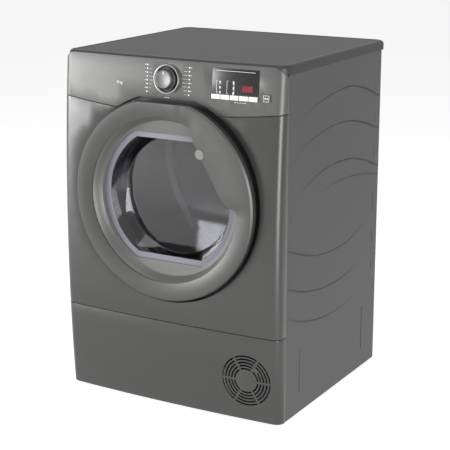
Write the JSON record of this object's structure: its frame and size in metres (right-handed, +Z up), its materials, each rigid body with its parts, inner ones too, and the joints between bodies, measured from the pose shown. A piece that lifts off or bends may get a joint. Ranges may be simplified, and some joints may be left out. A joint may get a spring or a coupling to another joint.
{
  "type": "condenser tumble dryer",
  "caption": "Front-loading condenser tumble dryer: hinged round door with glass bowl, turning drum, programme knob, display, push buttons and a draw-off kickplate before condenser and tank.",
  "frame": {"origin": "centre of the footprint of the whole machine on the floor plane", "axes": "+Z up, -Y out of the door side (front), +X to the right when facing the front"},
  "size_m": [0.596, 0.602, 0.85],
  "materials": {
    "worktop": "laminate, satin",
    "dark_trim": "satin",
    "graphite_paint": "semi-gloss",
    "galvanised": "dull zinc",
    "base_moulding": "matte",
    "foot_rubber": "matte",
    "silver_fascia": "metallic satin",
    "display_glass": "gloss",
    "felt": "felt",
    "bronze": "satin",
    "bright_steel": "bright",
    "belt_rubber": "matte",
    "motor_paint": "satin",
    "board_case": "matte",
    "graphite_door": "metallic semi-gloss",
    "door_inner": "metallic semi-gloss",
    "door_glass": "clear",
    "seal_rubber": "matte",
    "filter_frame": "matte",
    "silver_knob": "metallic satin",
    "condenser_aluminium": "satin",
    "container_plastic": "matte",
    "stainless": "brushed",
    "fan_plastic": "matte",
    "roller_rubber": "matte"
  },
  "bodies": {
    "cabinet": {"worktop_board": "worktop", "worktop_trim": "dark_trim", "left_side_panel": "graphite_paint", "right_side_panel": "graphite_paint", "rear_panel": "galvanised", "base_tray": "base_moulding", "levelling_feet": "foot_rubber", "top_rails": "galvanised", "front_panel": "graphite_paint", "control_fascia": "silver_fascia", "display_window": "display_glass", "knob_bezel": "dark_trim", "front_bulkhead": "base_moulding", "front_felt_seal": "felt", "rear_bulkhead": "galvanised", "rear_felt_seal": "felt", "rear_bearing": "bronze", "process_duct": "galvanised", "heater_element": "bright_steel", "drive_belt": "belt_rubber", "motor_body": "motor_paint", "motor_bracket": "galvanised", "cooling_fan_housing": "base_moulding", "condensate_pump": "base_moulding", "condensate_hose": "belt_rubber", "control_board": "board_case", "mains_inlet": "base_moulding", "door_catch": "base_moulding", "hinge_bracket": "bright_steel", "hinge_pin": "bright_steel", "panel_screws": "bright_steel"},
    "door": {"door_outer_frame": "graphite_door", "door_inner_frame": "door_inner", "door_window": "door_glass", "door_back_cover": "base_moulding", "door_seal": "seal_rubber", "hinge_leaf": "bright_steel", "latch_hook": "base_moulding"},
    "fluff_filter": {"lint_filter": "filter_frame"},
    "knob": {"programme_knob": "silver_knob"},
    "option_1": {"option_button_1": "silver_fascia"},
    "option_2": {"option_button_2": "silver_fascia"},
    "option_3": {"option_button_3": "silver_fascia"},
    "option_4": {"option_button_4": "silver_fascia"},
    "option_5": {"option_button_5": "silver_fascia"},
    "start": {"start_button": "silver_fascia"},
    "kick": {"kickplate": "graphite_paint"},
    "heat_exchanger": {"condenser": "condenser_aluminium"},
    "container": {"water_container": "container_plastic"},
    "drum": {"drum_shell": "stainless", "drum_rear_wall": "stainless", "drum_lifters": "base_moulding", "drum_shaft": "bright_steel"},
    "rotor": {"motor_shaft": "bright_steel", "cooling_fan": "fan_plastic", "process_fan": "fan_plastic"},
    "tension_arm": {"idler_arm": "galvanised"},
    "tension_pulley": {"idler_pulley": "fan_plastic"},
    "roller_left": {"support_roller_left": "roller_rubber"},
    "roller_right": {"support_roller_right": "roller_rubber"}
  },
  "joints": [
    {"name": "door_swing", "type": "hinge", "parent": "cabinet", "child": "door", "pos_m": [-0.232, -0.29, 0.521], "axis": [0, 0, -1], "range_deg": [0, 150]},
    {"name": "filter_lift", "type": "slide", "parent": "cabinet", "child": "fluff_filter", "axis": [0, 0, 1], "range_m": [0, 0.15]},
    {"name": "knob_turn", "type": "hinge", "parent": "cabinet", "child": "knob", "pos_m": [0, -0.26675, 0.802], "axis": [0, 0.9963, -0.0863], "continuous": true},
    {"name": "option_press_1", "type": "slide", "parent": "cabinet", "child": "option_1", "axis": [0, 1, 0], "range_m": [0, 0.001], "stiffness_N_per_m": 400, "springref_m": -0.0015},
    {"name": "option_press_2", "type": "slide", "parent": "cabinet", "child": "option_2", "axis": [0, 1, 0], "range_m": [0, 0.001], "stiffness_N_per_m": 400, "springref_m": -0.0015},
    {"name": "option_press_3", "type": "slide", "parent": "cabinet", "child": "option_3", "axis": [0, 1, 0], "range_m": [0, 0.001], "stiffness_N_per_m": 400, "springref_m": -0.0015},
    {"name": "option_press_4", "type": "slide", "parent": "cabinet", "child": "option_4", "axis": [0, 1, 0], "range_m": [0, 0.001], "stiffness_N_per_m": 400, "springref_m": -0.0015},
    {"name": "option_press_5", "type": "slide", "parent": "cabinet", "child": "option_5", "axis": [0, 1, 0], "range_m": [0, 0.001], "stiffness_N_per_m": 400, "springref_m": -0.0015},
    {"name": "start_press", "type": "slide", "parent": "cabinet", "child": "start", "axis": [0, 1, 0], "range_m": [0, 0.001], "stiffness_N_per_m": 400, "springref_m": -0.0015},
    {"name": "kickplate_draw", "type": "slide", "parent": "cabinet", "child": "kick", "axis": [0, -1, 0], "range_m": [0, 0.34]},
    {"name": "condenser_draw", "type": "slide", "parent": "cabinet", "child": "heat_exchanger", "axis": [0, -1, 0], "range_m": [0, 0.29]},
    {"name": "container_draw", "type": "slide", "parent": "cabinet", "child": "container", "axis": [0, -1, 0], "range_m": [0, 0.28]},
    {"name": "drum_spin", "type": "hinge", "parent": "cabinet", "child": "drum", "pos_m": [0, -0.263, 0.521], "axis": [0, 1, 0], "continuous": true},
    {"name": "motor_spin", "type": "hinge", "parent": "cabinet", "child": "rotor", "pos_m": [0.205, -0.263, 0.112], "axis": [0, 1, 0], "continuous": true},
    {"name": "tension_swing", "type": "hinge", "parent": "cabinet", "child": "tension_arm", "pos_m": [0.16, -0.263, 0.196], "axis": [0, 1, 0], "range_deg": [0, 8], "stiffness_Nm_per_rad": 2, "springref_deg": -17.19},
    {"name": "tension_pulley_spin", "type": "hinge", "parent": "tension_arm", "child": "tension_pulley", "pos_m": [0.12, -0.263, 0.155], "axis": [0, 1, 0], "continuous": true},
    {"name": "roller_left_spin", "type": "hinge", "parent": "cabinet", "child": "roller_left", "pos_m": [-0.17397, -0.263, 0.27255], "axis": [0, 1, 0], "continuous": true},
    {"name": "roller_right_spin", "type": "hinge", "parent": "cabinet", "child": "roller_right", "pos_m": [0.17397, -0.263, 0.27255], "axis": [0, 1, 0], "continuous": true}
  ],
  "couplings": [
    {"joint": "filter_lift", "follows": "door_swing", "m_per_rad": 0.057},
    {"joint": "condenser_draw", "follows": "kickplate_draw", "ratio": 0.85},
    {"joint": "container_draw", "follows": "kickplate_draw", "ratio": 0.8},
    {"joint": "motor_spin", "follows": "drum_spin", "ratio": 28.3},
    {"joint": "tension_pulley_spin", "follows": "drum_spin", "ratio": 15.722},
    {"joint": "roller_left_spin", "follows": "drum_spin", "ratio": -14.15},
    {"joint": "roller_right_spin", "follows": "drum_spin", "ratio": -14.15}
  ]
}
